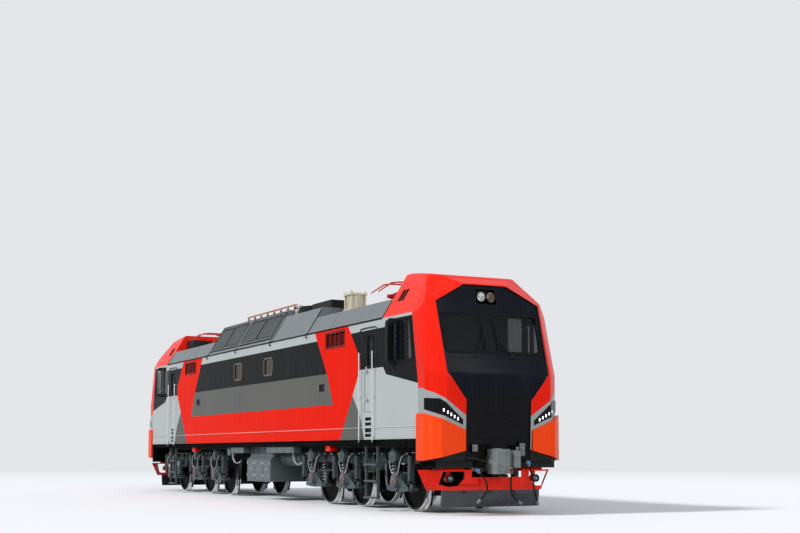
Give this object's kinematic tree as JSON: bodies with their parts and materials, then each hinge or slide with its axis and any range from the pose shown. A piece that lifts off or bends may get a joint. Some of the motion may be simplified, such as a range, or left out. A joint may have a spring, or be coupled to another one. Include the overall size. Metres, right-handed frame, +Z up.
{
  "type": "electric locomotive",
  "caption": "Six-axle electric locomotive with two cabs, swivelling bogies, rolling wheelsets, opening doors and rising pantographs.",
  "frame": {"origin": "bottom centre of the vehicle, at the height of the wheel flange tips; the rail top is 30 mm above it", "axes": "+X along the vehicle towards the front cab, +Y to its left, +Z up"},
  "size_m": [21.7, 3.5, 5.2348],
  "materials": {
    "body_paint": "semi-gloss light grey, dark grey and red paint",
    "red_paint": "semi-gloss red paint",
    "roof_grey": "satin grey roof paint",
    "black_panel": "gloss black moulding",
    "bumper_orange": "bright orange-red paint",
    "frame_grey": "dusty mid grey paint",
    "dark_grey": "dark blue-grey paint",
    "wheel_steel": "forged steel, bright at the tread",
    "spring_steel": "dark grey spring paint",
    "pantograph_red": "dark red paint",
    "pane": "tinted glass",
    "lamp_glass": "lamp lenses and housings",
    "hose_rubber": "matt black hose",
    "fitting_metal": "painted and bare cast fittings",
    "coil_beige": "glass-fibre coil",
    "copper_bar": "copper bar on insulators",
    "trim_black": "matt black moulding",
    "rail_steel": "satin steel tube",
    "mesh_wire": "dark grey wire mesh",
    "plain_block": "plain painted block"
  },
  "bodies": {
    "locomotive_body": {"air_hose_right": "hose_rubber", "battery_box_and_ducts": "frame_grey", "brake_hose_left": "hose_rubber", "brake_hose_right": "hose_rubber", "bumpers": "bumper_orange", "cab_desks_and_seats": "trim_black", "cab_glass": "pane", "cab_masks": "red_paint", "cab_panels": "black_panel", "cab_roofs": "red_paint", "cab_walls": "body_paint", "couplers": "fitting_metal", "handrails_and_ladders": "rail_steel", "hose_fittings": "fitting_metal", "jacking_brackets": "red_paint", "lamps": "lamp_glass", "low_roof_decks": "roof_grey", "machine_room_equipment": "plain_block", "machine_room_roof": "roof_grey", "machine_room_walls": "body_paint", "pantograph_bases": "pantograph_red", "ploughs": "red_paint", "rear_view_mirrors": "trim_black", "roof_boxes": "dark_grey", "roof_busbars": "copper_bar", "roof_choke_coil": "coil_beige", "roof_mesh_hatches": "mesh_wire", "side_grilles": "red_paint", "track_clearers": "dark_grey", "underframe": "frame_grey"},
    "front_bogie": {"front_axleboxes_and_brakes": "frame_grey", "front_bogie_frame": "frame_grey", "front_springs": "spring_steel", "front_traction_motors": "frame_grey"},
    "front_wheelset_1": {"front_wheelset_1": "wheel_steel"},
    "front_wheelset_2": {"front_wheelset_2": "wheel_steel"},
    "front_wheelset_3": {"front_wheelset_3": "wheel_steel"},
    "front_left_door": {"front_left_door": "body_paint"},
    "front_right_door": {"front_right_door": "body_paint"},
    "front_pantograph_lower_arm": {"front_pantograph_lower_arm": "pantograph_red"},
    "front_pantograph_upper_arm": {"front_pantograph_upper_arm": "pantograph_red"},
    "front_pantograph_head": {"front_pantograph_head": "pantograph_red"},
    "rear_bogie": {"rear_axleboxes_and_brakes": "frame_grey", "rear_bogie_frame": "frame_grey", "rear_springs": "spring_steel", "rear_traction_motors": "frame_grey"},
    "rear_wheelset_1": {"rear_wheelset_1": "wheel_steel"},
    "rear_wheelset_2": {"rear_wheelset_2": "wheel_steel"},
    "rear_wheelset_3": {"rear_wheelset_3": "wheel_steel"},
    "rear_left_door": {"rear_left_door": "body_paint"},
    "rear_right_door": {"rear_right_door": "body_paint"},
    "rear_pantograph_lower_arm": {"rear_pantograph_lower_arm": "pantograph_red"},
    "rear_pantograph_upper_arm": {"rear_pantograph_upper_arm": "pantograph_red"},
    "rear_pantograph_head": {"rear_pantograph_head": "pantograph_red"}
  },
  "joints": [
    {"name": "front_bogie_swivel", "type": "hinge", "parent": "locomotive_body", "child": "front_bogie", "pos_m": [6.1, 0, 1.3], "axis": [0, 0, 1], "range_deg": [-3, 3]},
    {"name": "front_wheelset_1_roll", "type": "hinge", "parent": "front_bogie", "child": "front_wheelset_1", "pos_m": [8.4, 0, 0.655], "axis": [0, 1, 0], "continuous": true},
    {"name": "front_wheelset_2_roll", "type": "hinge", "parent": "front_bogie", "child": "front_wheelset_2", "pos_m": [5.7, 0, 0.655], "axis": [0, 1, 0], "continuous": true},
    {"name": "front_wheelset_3_roll", "type": "hinge", "parent": "front_bogie", "child": "front_wheelset_3", "pos_m": [3.8, 0, 0.655], "axis": [0, 1, 0], "continuous": true},
    {"name": "front_left_door_hinge", "type": "hinge", "parent": "locomotive_body", "child": "front_left_door", "pos_m": [7.792, 1.488, 2.7], "axis": [0, 0, 1], "range_deg": [0, 90]},
    {"name": "front_right_door_hinge", "type": "hinge", "parent": "locomotive_body", "child": "front_right_door", "pos_m": [7.792, -1.488, 2.7], "axis": [0, 0, -1], "range_deg": [0, 90]},
    {"name": "front_pantograph_raise", "type": "hinge", "parent": "locomotive_body", "child": "front_pantograph_lower_arm", "pos_m": [6.95, 0, 4.9], "axis": [0, 1, 0], "range_deg": [0, 45]},
    {"name": "front_pantograph_knee", "type": "hinge", "parent": "front_pantograph_lower_arm", "child": "front_pantograph_upper_arm", "pos_m": [5.65317, 0, 4.99068], "axis": [0, 1, 0], "range_deg": [-90, 0]},
    {"name": "front_pantograph_level", "type": "hinge", "parent": "front_pantograph_upper_arm", "child": "front_pantograph_head", "pos_m": [6.95, 0, 5.08137], "axis": [0, 1, 0], "range_deg": [0, 45]},
    {"name": "rear_bogie_swivel", "type": "hinge", "parent": "locomotive_body", "child": "rear_bogie", "pos_m": [-6.1, 0, 1.3], "axis": [0, 0, 1], "range_deg": [-3, 3]},
    {"name": "rear_wheelset_1_roll", "type": "hinge", "parent": "rear_bogie", "child": "rear_wheelset_1", "pos_m": [-8.4, 0, 0.655], "axis": [0, 1, 0], "continuous": true},
    {"name": "rear_wheelset_2_roll", "type": "hinge", "parent": "rear_bogie", "child": "rear_wheelset_2", "pos_m": [-5.7, 0, 0.655], "axis": [0, 1, 0], "continuous": true},
    {"name": "rear_wheelset_3_roll", "type": "hinge", "parent": "rear_bogie", "child": "rear_wheelset_3", "pos_m": [-3.8, 0, 0.655], "axis": [0, 1, 0], "continuous": true},
    {"name": "rear_left_door_hinge", "type": "hinge", "parent": "locomotive_body", "child": "rear_left_door", "pos_m": [-7.792, 1.488, 2.7], "axis": [0, 0, -1], "range_deg": [0, 90]},
    {"name": "rear_right_door_hinge", "type": "hinge", "parent": "locomotive_body", "child": "rear_right_door", "pos_m": [-7.792, -1.488, 2.7], "axis": [0, 0, 1], "range_deg": [0, 90]},
    {"name": "rear_pantograph_raise", "type": "hinge", "parent": "locomotive_body", "child": "rear_pantograph_lower_arm", "pos_m": [-6.95, 0, 4.9], "axis": [0, -1, 0], "range_deg": [0, 45]},
    {"name": "rear_pantograph_knee", "type": "hinge", "parent": "rear_pantograph_lower_arm", "child": "rear_pantograph_upper_arm", "pos_m": [-5.65317, 0, 4.99068], "axis": [0, -1, 0], "range_deg": [-90, 0]},
    {"name": "rear_pantograph_level", "type": "hinge", "parent": "rear_pantograph_upper_arm", "child": "rear_pantograph_head", "pos_m": [-6.95, 0, 5.08137], "axis": [0, -1, 0], "range_deg": [0, 45]}
  ],
  "couplings": [
    {"joint": "front_pantograph_knee", "follows": "front_pantograph_raise", "ratio": -2},
    {"joint": "front_pantograph_level", "follows": "front_pantograph_raise", "ratio": 1},
    {"joint": "rear_pantograph_knee", "follows": "rear_pantograph_raise", "ratio": -2},
    {"joint": "rear_pantograph_level", "follows": "rear_pantograph_raise", "ratio": 1}
  ]
}
